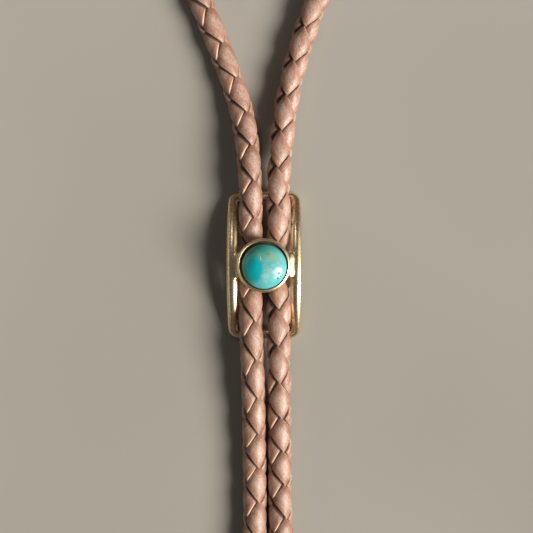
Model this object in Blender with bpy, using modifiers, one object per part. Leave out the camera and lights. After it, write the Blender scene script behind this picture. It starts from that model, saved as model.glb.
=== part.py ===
"""A bolo tie: one leather cord looped round the neck and drawn through an arched slide.

The tie lies on the plane z = 0 as it does on a table, with the stone looking up.  X runs across
the slide and +Y along the cord towards the back of the neck.  The pieces are modelled with the
middle of the slide at x = y = 0, and hang from one empty that carries the origin to the middle
of the tie's outline.  Lengths are in metres.
"""

import math

import bmesh
import bpy
import numpy as np
from mathutils import Matrix

MM = 0.001

# Leather cord
CORD_DIAMETER = 4.8 * MM
CORD_GAP = 0.6 * MM  # between the two runs of cord inside the slide
CORD_SIDES_LEVEL = 3  # bevel resolution of the tubes, which gives ten sides
CORD_POINT_SPACING = 2.0  # in cord diameters
CORD_END_STEP = 1.5 * MM  # first and last step, short so that the end faces stand square
CORD_DIP_HEIGHT = 2.6 * MM  # middle of the cord under the strap, above the table
JOINT_GAP = 0.3 * MM  # left where two solids meet face to face

# Slide frame: two arched bars, and the thinner wire that crosses behind the cords at each end
FRAME_LENGTH = 30.2 * MM
BAR_DIAMETER = 2.35 * MM
BAR_CLEARANCE = 0.325 * MM  # from a cord to the bar beside it
BAR_BOW = 0.15 * MM  # how far the middle of each bar stands outside its ends
CROSS_WIRE_DIAMETER = 1.8 * MM
CORNER_RADIUS = 1.2 * MM  # of the wire's middle line, seen from above
FOOT_DEPTH = 0.1 * MM  # filed off below the cross wires, so that they stand flat
BAR_POINTS = 28
BAR_TAPER_POWER = 1.5  # how fully the bars keep their thickness towards their ends
CORNER_POINTS = 5
CROSS_POINTS = 6
WIRE_SIDES_LEVEL = 6  # bevel resolution of the wire, which gives sixteen sides

# Strap that joins the two bars over the cords and carries the bezel
STRAP_WIDTH = 5.4 * MM
STRAP_THICKNESS = 0.8 * MM
STRAP_CLEARANCE = 0.7 * MM  # above the cords where they dip lowest
STRAP_OVERHANG = 0.1 * MM  # past the middle line of each bar
STRAP_STEP = 0.25 * MM  # how far the strap stands above the tops of the bars
STRAP_CORNER = 1.3 * MM

# Stone and the cup that it sits in
STONE_DIAMETER = 9.2 * MM
STONE_GIRDLE = 1.5 * MM  # height of the nearly upright edge
STONE_DOME = 2.1 * MM
STONE_BASE_INSET = 0.15 * MM  # how much narrower the stone is at its base
STONE_CLEARANCE = 0.3 * MM
BEZEL_WALL = 0.65 * MM
BEZEL_FLOOR = 0.5 * MM
BEZEL_SINK = 0.2 * MM  # how deep the cup is let into the strap
BEZEL_HEIGHT = 2.7 * MM
BEZEL_EDGE = 0.22 * MM  # radius of the rim's rounded edges
TURN_STEPS = 72
DOME_POINTS = 12

# Metal tips on the two free ends
TIP_DIAMETER = 5.2 * MM
TIP_LENGTH = 20.0 * MM
TIP_COLLAR = 4.0 * MM
TIP_GROOVE = 0.35 * MM  # depth of the groove below the collar
TIP_GROOVE_WIDTH = 0.9 * MM
TIP_END_DIAMETER = 3.4 * MM
TIP_TURN_STEPS = 32

# How finely rounded edges and curves are made, and which edges stay sharp
EDGE_POINTS = 5
STRAP_CORNER_POINTS = 6
TIP_END_POINTS = 7
CURVE_STEPS = 40  # for each point of a route, before the tube's own points are chosen
WELD_DISTANCE = 0.0001 * MM
SHARP_ANGLE = 40.0

# Routes of the cord's middle line in millimetres, from the middle of the slide
NECK_ROUTE = (
    (-2.7, 0.15, 2.6),
    (-2.7, 2.2, 2.63),
    (-2.7, 8.0, 3.8),
    (-2.75, 15.0, 4.7),
    (-3.15, 21.0, 4.5),
    (-4.6, 31.0, 3.2),
    (-8.4, 42.6, 2.4),
    (-13.2, 54.4, 2.4),
    (-23.5, 78.0, 2.4),
    (-40.5, 115.0, 2.4),
    (-57.5, 153.0, 2.4),
    (-67.0, 190.0, 2.4),
    (-61.0, 226.0, 2.4),
    (-36.0, 254.0, 2.4),
    (0.0, 263.0, 2.4),
    (36.0, 254.0, 2.4),
    (61.0, 226.0, 2.4),
    (67.0, 190.0, 2.4),
    (57.0, 153.0, 2.4),
    (38.5, 115.0, 2.4),
    (20.3, 78.0, 2.4),
    (10.7, 54.4, 2.4),
    (6.7, 42.6, 2.4),
    (4.3, 31.0, 3.2),
    (3.1, 21.0, 4.5),
    (2.75, 15.0, 4.7),
    (2.7, 8.0, 3.8),
    (2.7, 2.2, 2.63),
    (2.7, 0.15, 2.6),
)
LEFT_TAIL_ROUTE = (
    (-2.7, -0.15, 2.6),
    (-2.7, -2.2, 2.63),
    (-2.7, -8.0, 3.8),
    (-2.7, -15.0, 4.7),
    (-2.55, -21.0, 4.5),
    (-2.3, -31.0, 3.2),
    (-2.05, -42.0, 2.5),
    (-1.95, -51.0, 2.5),
    (-2.0, -58.0, 2.6),
    (-2.0, -61.0, 2.6),
)
RIGHT_TAIL_ROUTE = (
    (2.7, -0.15, 2.6),
    (2.7, -2.2, 2.63),
    (2.7, -8.0, 3.8),
    (2.75, -15.0, 4.7),
    (2.9, -21.0, 4.5),
    (3.05, -31.0, 3.2),
    (3.1, -42.0, 2.5),
    (3.25, -51.0, 2.5),
    (3.55, -58.0, 2.6),
    (3.6, -61.0, 2.6),
)

# Sizes and heights that follow from the ones above
CORD_RADIUS = CORD_DIAMETER / 2
BAR_RADIUS = BAR_DIAMETER / 2
CROSS_WIRE_RADIUS = CROSS_WIRE_DIAMETER / 2
BAR_MIDDLE_X = CORD_GAP / 2 + CORD_DIAMETER + BAR_CLEARANCE + BAR_RADIUS
CROSS_WIRE_Y = FRAME_LENGTH / 2 - CROSS_WIRE_RADIUS
CROSS_WIRE_Z = CROSS_WIRE_RADIUS - FOOT_DEPTH
STRAP_UNDERSIDE = CORD_DIP_HEIGHT + CORD_RADIUS + STRAP_CLEARANCE
STRAP_TOP = STRAP_UNDERSIDE + STRAP_THICKNESS
BAR_MIDDLE_Z = STRAP_TOP - STRAP_STEP - BAR_RADIUS
BEZEL_BASE = STRAP_TOP - BEZEL_SINK
BEZEL_INNER_RADIUS = STONE_DIAMETER / 2 + STONE_CLEARANCE
BEZEL_RADIUS = BEZEL_INNER_RADIUS + BEZEL_WALL
STONE_BASE = BEZEL_BASE + BEZEL_FLOOR + STONE_CLEARANCE
LOOP_TOP = NECK_ROUTE[len(NECK_ROUTE) // 2][1] * MM + CORD_RADIUS
OUTLINE_MIDDLE_Y = (LOOP_TOP - FRAME_LENGTH / 2) / 2

# Finishes: colour, roughness and metallic value
LEATHER = ("natural_leather", (0.52, 0.33, 0.24), 0.55, 0.0)
GOLD = ("polished_gold", (0.86, 0.62, 0.30), 0.16, 1.0)
TURQUOISE = ("turquoise", (0.13, 0.50, 0.52), 0.22, 0.0)


def clear_scene():
    """Removes every object of the open scene."""
    for thing in list(bpy.data.objects):
        bpy.data.objects.remove(thing, do_unlink=True)


def make_collection(name):
    """Returns a new collection of the scene."""
    collection = bpy.data.collections.new(name)
    bpy.context.scene.collection.children.link(collection)
    return collection


def make_material(finish):
    """Returns a Principled material for one of the finishes."""
    name, colour, roughness, metallic = finish
    material = bpy.data.materials.new(name)
    material.use_nodes = True
    shader = material.node_tree.nodes["Principled BSDF"]
    shader.inputs["Base Color"].default_value = (*colour, 1.0)
    shader.inputs["Roughness"].default_value = roughness
    shader.inputs["Metallic"].default_value = metallic
    return material


def add_mesh_object(name, mesh, collection):
    """Returns a new object that shows the mesh."""
    thing = bpy.data.objects.new(name, mesh)
    collection.objects.link(thing)
    return thing


def shade_round(mesh):
    """Shades a mesh smooth and keeps its true edges sharp."""
    mesh.shade_smooth()
    mesh.set_sharp_from_angle(angle=math.radians(SHARP_ANGLE))


def smooth_route(route, spacing):
    """Returns evenly spaced points of the smooth curve through a route in millimetres.

    The curve is a natural cubic spline over the distance between the route's points.  It never
    passes below the height at which the cord lies on the table.
    """
    knots = np.array(route) * MM
    steps = np.linalg.norm(np.diff(knots, axis=0), axis=1)
    along = np.concatenate(([0.0], np.cumsum(steps)))
    count = len(knots)
    system = np.eye(count)
    bends = np.zeros((count, 3))
    for i in range(1, count - 1):
        before, after = steps[i - 1], steps[i]
        system[i, i - 1 : i + 2] = before, 2 * (before + after), after
        bends[i] = 6 * ((knots[i + 1] - knots[i]) / after - (knots[i] - knots[i - 1]) / before)
    bends = np.linalg.solve(system, bends)

    fine = np.linspace(0.0, along[-1], CURVE_STEPS * count)
    index = np.clip(np.searchsorted(along, fine, side="right") - 1, 0, count - 2)
    width = steps[index][:, None]
    right = ((fine - along[index]) / steps[index])[:, None]
    left = 1 - right
    curve = left * knots[index] + right * knots[index + 1]
    curve += width**2 / 6 * ((left**3 - left) * bends[index] + (right**3 - right) * bends[index + 1])
    curve[:, 2] = np.maximum(curve[:, 2], CORD_RADIUS)

    run = np.concatenate(([0.0], np.cumsum(np.linalg.norm(np.diff(curve, axis=0), axis=1))))
    places = np.linspace(0.0, run[-1], max(2, round(run[-1] / spacing)) + 1)
    places = np.insert(places, (1, -1), (CORD_END_STEP, run[-1] - CORD_END_STEP))
    return np.column_stack([np.interp(places, run, curve[:, axis]) for axis in range(3)])


def make_tube(name, points, radii, sides_level, closed, collection):
    """Returns a curve object: a round tube along the points, with a radius at each point."""
    data = bpy.data.curves.new(name, "CURVE")
    data.dimensions = "3D"
    data.bevel_depth = 1.0
    data.bevel_resolution = sides_level
    data.use_fill_caps = True
    spline = data.splines.new("POLY")
    spline.points.add(len(points) - 1)
    for spot, point, radius in zip(spline.points, points, radii):
        spot.co = (*point, 1.0)
        spot.radius = radius
    spline.use_cyclic_u = closed
    return add_mesh_object(name, data, collection)


def curve_to_mesh(curve_object, collection):
    """Replaces a curve object by a mesh object of the same name and place, with welded caps."""
    name, place = curve_object.name, curve_object.matrix_world.copy()
    depsgraph = bpy.context.evaluated_depsgraph_get()
    mesh = bpy.data.meshes.new_from_object(curve_object.evaluated_get(depsgraph))
    bpy.data.objects.remove(curve_object, do_unlink=True)
    shape = bmesh.new()
    shape.from_mesh(mesh)
    bmesh.ops.remove_doubles(shape, verts=shape.verts, dist=WELD_DISTANCE)
    bmesh.ops.recalc_face_normals(shape, faces=shape.faces)
    shape.to_mesh(mesh)
    shape.free()
    thing = add_mesh_object(name, mesh, collection)
    thing.matrix_world = place
    return thing


def make_turned(name, profile, steps, collection):
    """Returns an object turned about Z from a profile of (radius, height) points.

    The profile starts on the axis at the top and runs down the outer side.
    """
    mesh = bpy.data.meshes.new(name)
    points = [(radius, 0.0, height) for radius, height in profile]
    mesh.from_pydata(points, [(i, i + 1) for i in range(len(points) - 1)], [])
    thing = add_mesh_object(name, mesh, collection)
    screw = thing.modifiers.new("Turn", "SCREW")
    screw.steps = screw.render_steps = steps
    screw.use_merge_vertices = True
    screw.merge_threshold = WELD_DISTANCE
    screw.use_smooth_shade = True
    return thing


def arc(middle, radius, start, end, count):
    """Returns points of a plane arc, with its angles in degrees."""
    angles = np.radians(np.linspace(start, end, count))
    return [(middle[0] + radius * math.cos(a), middle[1] + radius * math.sin(a)) for a in angles]


def frame_height(y):
    """Returns the height of the slide wire's middle line, on an arc that is highest at y = 0."""
    rise = BAR_MIDDLE_Z - CROSS_WIRE_Z
    radius = (CROSS_WIRE_Y**2 + rise**2) / (2 * rise)
    return BAR_MIDDLE_Z - radius + math.sqrt(radius**2 - y**2)


def frame_outline():
    """Returns one quarter of the slide wire's middle line, from a bar's middle to an end's."""
    bar_end_y = CROSS_WIRE_Y - CORNER_RADIUS
    bar_end_x = BAR_MIDDLE_X - BAR_BOW
    bar = []
    for step in range(BAR_POINTS // 2):
        y = bar_end_y * step / (BAR_POINTS // 2)
        bar.append((BAR_MIDDLE_X - BAR_BOW * (y / bar_end_y) ** 2, y))
    corner = arc((bar_end_x - CORNER_RADIUS, bar_end_y), CORNER_RADIUS, 0, 90, CORNER_POINTS)
    half_cross = bar_end_x - CORNER_RADIUS
    cross = [
        (half_cross * (1 - step / (CROSS_POINTS // 2)), CROSS_WIRE_Y)
        for step in range(1, CROSS_POINTS // 2 + 1)
    ]
    return bar + corner + cross


def make_frame_wire(collection):
    """Returns the closed, arched wire of the slide as a mesh object."""
    quarter = frame_outline()
    half = quarter + [(-x, y) for x, y in reversed(quarter[:-1])]
    outline = half + [(x, -y) for x, y in reversed(half[1:-1])]
    points, radii = [], []
    for x, y in outline:
        points.append((x, y, frame_height(y)))
        taper = math.cos(math.pi / 2 * min(1.0, abs(y) / CROSS_WIRE_Y)) ** BAR_TAPER_POWER
        radii.append(CROSS_WIRE_RADIUS + (BAR_RADIUS - CROSS_WIRE_RADIUS) * taper)
    wire = make_tube("slide_frame", points, radii, WIRE_SIDES_LEVEL, True, collection)
    return curve_to_mesh(wire, collection)


def make_strap(collection):
    """Returns the flat strap that lies across the two bars."""
    half_length = BAR_MIDDLE_X + STRAP_OVERHANG
    half_width = STRAP_WIDTH / 2
    corner_x, corner_y = half_length - STRAP_CORNER, half_width - STRAP_CORNER
    outline = []
    for quarter, (x, y) in enumerate(((1, 1), (-1, 1), (-1, -1), (1, -1))):
        middle, start = (x * corner_x, y * corner_y), 90 * quarter
        outline += arc(middle, STRAP_CORNER, start, start + 90, STRAP_CORNER_POINTS)
    data = bpy.data.curves.new("strap", "CURVE")
    data.dimensions = "2D"
    data.fill_mode = "BOTH"
    data.extrude = STRAP_THICKNESS / 2
    spline = data.splines.new("POLY")
    spline.points.add(len(outline) - 1)
    for spot, (x, y) in zip(spline.points, outline):
        spot.co = (x, y, 0.0, 1.0)
    spline.use_cyclic_u = True
    strap = add_mesh_object("strap", data, collection)
    strap.location.z = STRAP_UNDERSIDE + STRAP_THICKNESS / 2
    bpy.context.view_layer.update()
    return curve_to_mesh(strap, collection)


def make_bezel(collection):
    """Returns the round cup that the stone sits in."""
    edge = BEZEL_EDGE
    rim = BEZEL_BASE + BEZEL_HEIGHT
    floor = BEZEL_BASE + BEZEL_FLOOR
    profile = [(0.0, floor), (BEZEL_INNER_RADIUS, floor)]
    profile += arc((BEZEL_INNER_RADIUS + edge, rim - edge), edge, 180, 90, EDGE_POINTS)
    profile += arc((BEZEL_RADIUS - edge, rim - edge), edge, 90, 0, EDGE_POINTS)
    profile += [(BEZEL_RADIUS, BEZEL_BASE), (0.0, BEZEL_BASE)]
    return make_turned("bezel", profile, TURN_STEPS, collection)


def make_slide_frame(parts, helpers):
    """Returns the whole slide: wire, strap and bezel soldered into one solid."""
    frame = make_frame_wire(parts)
    for piece in (make_strap(helpers), make_bezel(helpers)):
        piece.hide_render = True
        piece.display_type = "WIRE"
        join = frame.modifiers.new(f"Solder {piece.name}", "BOOLEAN")
        join.operation = "UNION"
        join.solver = "EXACT"
        join.object = piece
    depsgraph = bpy.context.evaluated_depsgraph_get()
    soldered = bpy.data.meshes.new_from_object(frame.evaluated_get(depsgraph))
    frame.modifiers.clear()
    shape = bmesh.new()
    shape.from_mesh(soldered)
    everything = shape.verts[:] + shape.edges[:] + shape.faces[:]
    bmesh.ops.bisect_plane(
        shape, geom=everything, plane_co=(0, 0, 0), plane_no=(0, 0, 1), clear_inner=True
    )
    rims = [edge for edge in shape.edges if edge.is_boundary]
    bmesh.ops.holes_fill(shape, edges=rims, sides=0)
    bmesh.ops.recalc_face_normals(shape, faces=shape.faces)
    shape.to_mesh(soldered)
    shape.free()
    shade_round(soldered)
    frame.data = soldered
    return frame


def make_stone(parts):
    """Returns the round cabochon, flat below and domed above."""
    radius = STONE_DIAMETER / 2
    girdle = STONE_BASE + STONE_GIRDLE
    profile = []
    for step in range(DOME_POINTS + 1):
        angle = math.pi / 2 * step / DOME_POINTS
        profile.append((radius * math.sin(angle), girdle + STONE_DOME * math.cos(angle)))
    profile += [(radius - STONE_BASE_INSET, STONE_BASE), (0.0, STONE_BASE)]
    return make_turned("turquoise_cabochon", profile, TURN_STEPS, parts)


def make_cord(name, route, parts):
    """Returns one run of the leather cord as a plain tube."""
    points = smooth_route(route, CORD_POINT_SPACING * CORD_DIAMETER)
    radii = [CORD_RADIUS] * len(points)
    return make_tube(name, points, radii, CORD_SIDES_LEVEL, False, parts)


def make_tip(name, route, parts):
    """Returns the tip that ends a tail: a collar, a groove and a tapered, rounded end."""
    radius, end_radius = TIP_DIAMETER / 2, TIP_END_DIAMETER / 2
    groove_radius = radius - TIP_GROOVE
    taper_start = TIP_COLLAR + TIP_GROOVE_WIDTH
    profile = [(0.0, 0.0), (radius, 0.0), (radius, -TIP_COLLAR)]
    profile += [(groove_radius, -TIP_COLLAR), (groove_radius, -taper_start), (radius, -taper_start)]
    profile += arc((0.0, end_radius - TIP_LENGTH), end_radius, 0, -90, TIP_END_POINTS)
    tip = make_turned(name, profile, TIP_TURN_STEPS, parts)
    x, y, _ = route[-1]
    turn = Matrix.Rotation(math.radians(-90), 4, "X")
    tip.matrix_world = Matrix.Translation((x * MM, y * MM - JOINT_GAP, radius)) @ turn
    return tip


def main():
    """Builds the tie and hangs its pieces from one empty."""
    clear_scene()
    parts = make_collection("bolo_tie")
    helpers = make_collection("bolo_tie_helpers")
    leather, gold, turquoise = (make_material(finish) for finish in (LEATHER, GOLD, TURQUOISE))

    dressed = (
        (make_slide_frame(parts, helpers), gold),
        (make_stone(parts), turquoise),
        (make_cord("neck_loop", NECK_ROUTE, parts), leather),
        (make_cord("tail_left", LEFT_TAIL_ROUTE, parts), leather),
        (make_cord("tail_right", RIGHT_TAIL_ROUTE, parts), leather),
        (make_tip("tip_left", LEFT_TAIL_ROUTE, parts), gold),
        (make_tip("tip_right", RIGHT_TAIL_ROUTE, parts), gold),
    )
    anchor = bpy.data.objects.new("bolo_tie_middle", None)
    parts.objects.link(anchor)
    anchor.location.y = -OUTLINE_MIDDLE_Y
    for piece, material in dressed:
        piece.data.materials.clear()
        piece.data.materials.append(material)
        piece.parent = anchor
    bpy.context.view_layer.update()


main()
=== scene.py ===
"""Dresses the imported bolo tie: a plaited leather cord, a gold slide and a turquoise cabochon.

Sizes are in millimetres from the middle of the slide, seen from above, until a finished mesh
is brought to its place in the row frame, which is in metres.
"""

import logging
import math
from dataclasses import dataclass, field
from enum import Enum
from typing import Callable, Sequence

import bpy
import numpy as np
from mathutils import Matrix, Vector


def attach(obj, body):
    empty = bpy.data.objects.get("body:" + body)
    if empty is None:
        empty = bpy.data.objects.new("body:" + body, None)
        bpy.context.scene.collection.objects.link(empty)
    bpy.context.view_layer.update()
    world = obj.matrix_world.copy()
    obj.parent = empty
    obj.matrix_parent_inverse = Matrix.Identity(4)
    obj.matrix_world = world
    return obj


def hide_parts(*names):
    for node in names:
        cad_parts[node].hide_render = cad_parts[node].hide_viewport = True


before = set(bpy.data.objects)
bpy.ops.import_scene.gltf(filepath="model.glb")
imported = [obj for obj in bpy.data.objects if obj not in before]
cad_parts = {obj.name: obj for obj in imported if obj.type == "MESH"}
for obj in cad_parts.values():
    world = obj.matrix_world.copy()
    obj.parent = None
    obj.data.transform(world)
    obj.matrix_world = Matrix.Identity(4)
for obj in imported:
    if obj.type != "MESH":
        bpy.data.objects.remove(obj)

log = logging.getLogger("bolo_tie")

MM = 0.001
SLIDE_MIDDLE_Y = -125.15
BODY = "root"
FULL_TURN = 2 * math.pi

Point = tuple[float, float, float]
Colour = tuple[float, float, float, float]


class Slot(Enum):
    """Names of the material slots."""

    LEATHER = "leather"
    GOLD = "gold"
    TURQUOISE = "turquoise"


# Shader sums


class Value:
    """A shader socket that takes part in sums, so that a mask is written as an expression."""

    def __init__(self, recipe: "Recipe", socket: bpy.types.NodeSocket) -> None:
        """Keeps an output socket and the recipe whose node tree holds it."""
        self.recipe = recipe
        self.socket = socket

    def _sum(self, operation: str, first: "Term", second: "Term") -> "Value":
        """Adds one Math node and returns its result."""
        return self.recipe.node("ShaderNodeMath", {"operation": operation}, {0: first, 1: second})

    def __add__(self, other: "Term") -> "Value":
        """Adds the other value."""
        return self._sum("ADD", self, other)

    def __radd__(self, other: "Term") -> "Value":
        """Adds this value to a plain number."""
        return self._sum("ADD", other, self)

    def __sub__(self, other: "Term") -> "Value":
        """Takes the other value away."""
        return self._sum("SUBTRACT", self, other)

    def __rsub__(self, other: "Term") -> "Value":
        """Takes this value away from a plain number."""
        return self._sum("SUBTRACT", other, self)

    def __mul__(self, other: "Term") -> "Value":
        """Multiplies by the other value."""
        return self._sum("MULTIPLY", self, other)

    def __rmul__(self, other: "Term") -> "Value":
        """Multiplies a plain number by this value."""
        return self._sum("MULTIPLY", other, self)

    def size(self) -> "Value":
        """Returns the value without its sign."""
        return self._sum("ABSOLUTE", self, 0.0)

    def most(self, other: "Term") -> "Value":
        """Returns the larger of the two values."""
        return self._sum("MAXIMUM", self, other)

    def rise(self, low: float, high: float) -> "Value":
        """Returns a mask that goes softly from 0 at low to 1 at high."""
        values = {"Value": self, "From Min": low, "From Max": high}
        return self.recipe.node("ShaderNodeMapRange", {"interpolation_type": "SMOOTHSTEP"}, values)


Term = Value | float | Sequence[float]


class Recipe:
    """The node tree of one finish, with one Principled shader."""

    def __init__(self, name: str) -> None:
        """Starts a material with its shader.

        Args:
            name: The material's name.
        """
        self.material = bpy.data.materials.new(name)
        self.material.use_nodes = True
        self.tree = self.material.node_tree
        self.shader = self.tree.nodes["Principled BSDF"]

    def node(self, kind: str, settings: dict, values: dict, out: int | str = 0) -> Value:
        """Adds any node.

        Args:
            kind: The node's type.
            settings: Its settings, set first.
            values: The values or links of its sockets.
            out: The output to hand on.

        Returns:
            The chosen output.
        """
        made = self.tree.nodes.new(kind)
        for name, setting in settings.items():
            setattr(made, name, setting)
        for key, value in values.items():
            self.feed(made.inputs[key], value)
        return Value(self, made.outputs[out])

    def feed(self, socket: bpy.types.NodeSocket, value: Term) -> None:
        """Links a value to a socket, or sets it there.

        Args:
            socket: An input socket.
            value: What it takes.
        """
        if isinstance(value, Value):
            self.tree.links.new(value.socket, socket)
        else:
            socket.default_value = value

    def vector(self, operation: str, first: Value, second: Point) -> Value:
        """Adds one Vector Math node and returns its result."""
        return self.node("ShaderNodeVectorMath", {"operation": operation}, {0: first, 1: second})

    def scaled(self, vector: Value, factors: Point) -> Value:
        """Multiplies a vector by one factor for each axis."""
        return self.vector("MULTIPLY", vector, factors)

    def place(self) -> Value:
        """Returns the piece's own coordinates in millimetres."""
        return self.scaled(self.node("ShaderNodeTexCoord", {}, {}, "Object"), (1 / MM,) * 3)

    def noise(self, vector: Value, scale: float, detail: float = 3.0, rough: float = 0.5) -> Value:
        """Returns a noise from 0 to 1, of a scale for one millimetre, with its finer layers."""
        values = {"Vector": vector, "Scale": scale, "Detail": detail, "Roughness": rough}
        return self.node("ShaderNodeTexNoise", {}, values, "Fac")

    def cells(self, vector: Value, scale: float, feature: str = "F1") -> Value:
        """Adds a Voronoi texture and returns its distance."""
        values = {"Vector": vector, "Scale": scale}
        return self.node("ShaderNodeTexVoronoi", {"feature": feature}, values, "Distance")

    def mix(self, share: Term, first: Term, second: Term) -> Value:
        """Returns the first colour with a share of the second in it."""
        return self.node("ShaderNodeMix", {"data_type": "RGBA"}, {0: share, 6: first, 7: second}, 2)

    def bump(self, height: Value, strength: float, distance: float) -> None:
        """Gives the shader a fine relief, whose depth is in millimetres."""
        values = {"Height": height, "Strength": strength, "Distance": distance * MM}
        self.feed(self.shader.inputs["Normal"], self.node("ShaderNodeBump", {}, values))

    def finish(self, **values: Term) -> bpy.types.Material:
        """Feeds the shader's sockets.

        Args:
            values: What they take, under their names with underscores for spaces.

        Returns:
            The finished material.
        """
        for name, value in values.items():
            self.feed(self.shader.inputs[name.replace("_", " ")], value)
        return self.material


# Finishes


@dataclass(frozen=True)
class Leather:
    """Brown lace leather with a satin face, pale cut edges, and painted shade at the crossings, where
    the laces pass under each other.
    """

    worn: Colour = (0.47, 0.250, 0.168, 1.0)
    deep: Colour = (0.29, 0.123, 0.070, 1.0)
    rubbed: Colour = (0.565, 0.390, 0.312, 1.0)
    cut_edge: Colour = (0.66, 0.44, 0.31, 1.0)
    # Dark of the painted shade in the creases; it also darkens the pores of the grain.
    crease_shade_and_pores: Colour = (0.032, 0.010, 0.006, 1.0)
    grain: float = 0.30

    def material(self) -> bpy.types.Material:
        """Builds the material from the laces' own map and depth.

        Returns:
            The material.
        """
        recipe = Recipe("lace_leather")
        lace = recipe.node("ShaderNodeUVMap", {"uv_map": "lace"}, {})
        across = recipe.node("ShaderNodeSeparateXYZ", {}, {0: lace}, "X")
        sunk = recipe.node("ShaderNodeAttribute", {"attribute_name": "sunk"}, {}, "Fac")
        painted_edge_shade = recipe.node("ShaderNodeAttribute", {"attribute_name": "painted_edge_shade"}, {}, "Fac")
        place = recipe.place()

        tone = recipe.noise(place, 0.16, 4.0, 0.6)
        streaks = recipe.noise(recipe.scaled(lace, (2.2, 0.35, 1.0)), 1.0, 4.0, 0.6)
        pores = recipe.cells(recipe.scaled(lace, (1.0, 0.75, 1.0)), 1 / self.grain)
        fibres = recipe.noise(recipe.scaled(lace, (5.0, 1.4, 1.0)), 1.0, 5.0, 0.7)
        nap = recipe.noise(lace, 2.6, 3.0, 0.75)

        colour = recipe.mix((tone * 0.5 + streaks * 0.6).rise(0.34, 0.76), self.deep, self.worn)
        face = 1.0 - across.size().rise(0.4, 1.9)
        rubbed = (face * (streaks * 0.6 + fibres * 0.6)).rise(0.25, 0.8) * (1.0 - sunk)
        colour = recipe.mix(rubbed * 0.75, colour, self.rubbed)
        colour = recipe.mix(nap.rise(0.52, 0.72) * 0.45, colour, self.rubbed)
        colour = recipe.mix(nap.rise(0.48, 0.28) * 0.45, colour, self.deep)
        # Pale cut edges, faded where the lace is sunk; that fading is painted shade.
        edge = (across.size() + (fibres - 0.5) * 0.10).rise(1.98, 2.05)
        underside = across.size().rise(2.7, 3.0)
        colour = recipe.mix(edge * (1.0 - underside) * (1.0 - sunk * 0.6), colour, self.cut_edge)
        # Painted shade: darker where a lace dives under its neighbours, and along the edges marked for
        # painted shade.
        painted_crease_shade = (sunk + (fibres - 0.5) * 0.10).rise(0.45, 0.66).most(edge * painted_edge_shade * 0.85)
        colour = recipe.mix(painted_crease_shade * 0.94, colour, self.crease_shade_and_pores)
        speckle = pores.rise(0.5, 0.12) * 0.34 + fibres.rise(0.55, 0.3) * 0.26
        colour = recipe.mix(speckle, colour, self.crease_shade_and_pores)

        height = pores.rise(0.0, 0.6) * 0.4 + fibres * 0.3 + streaks * 0.2 + nap * 0.8
        recipe.bump(height, 0.8, 0.09)
        rough = 0.40 + fibres * 0.18 + edge * 0.25 - rubbed * 0.05 + painted_crease_shade * 0.3
        return recipe.finish(
            Base_Color=colour,
            Roughness=rough,
            Specular_IOR_Level=0.85,
            Sheen_Weight=0.04,
            Sheen_Roughness=0.5,
        )


@dataclass(frozen=True)
class Gold:
    """Polished yellow metal with fine wear and brown tarnish where a cloth does not reach."""

    name: str = "polished_gold"
    bright: Colour = (0.94, 0.76, 0.49, 1.0)
    warm: Colour = (0.89, 0.65, 0.39, 1.0)
    tarnish: Colour = (0.22, 0.12, 0.055, 1.0)
    polish: float = 0.205

    def material(self) -> bpy.types.Material:
        """Builds the material from the piece's own place.

        Returns:
            The material.
        """
        recipe = Recipe(self.name)
        place = recipe.place()
        cloudy = recipe.noise(place, 0.35, 4.0, 0.6)
        fine = recipe.noise(place, 2.6, 4.0, 0.65)
        rubs = recipe.noise(recipe.scaled(place, (9.0, 1.1, 4.0)), 1.0, 3.0, 0.6)
        colour = recipe.mix(cloudy.rise(0.35, 0.7), self.bright, self.warm)
        stain = (fine * 0.6 + cloudy * 0.5).rise(0.60, 0.78)
        colour = recipe.mix(stain * 0.22, colour, self.tarnish)
        recipe.bump(fine * 0.6 + rubs * 0.4, 0.06, 0.03)
        rough = self.polish + cloudy * 0.10 + rubs.rise(0.5, 0.75) * 0.09 + stain * 0.15
        return recipe.finish(Base_Color=colour, Metallic=1.0, Roughness=rough)


@dataclass(frozen=True)
class Patch:
    """A patch of its own colour on the stone, in millimetres from the stone's middle."""

    x: float
    y: float
    wide: float
    high: float
    colour: Colour
    strength: float
    soft: float = 0.45
    wander: float = 0.9


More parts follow.
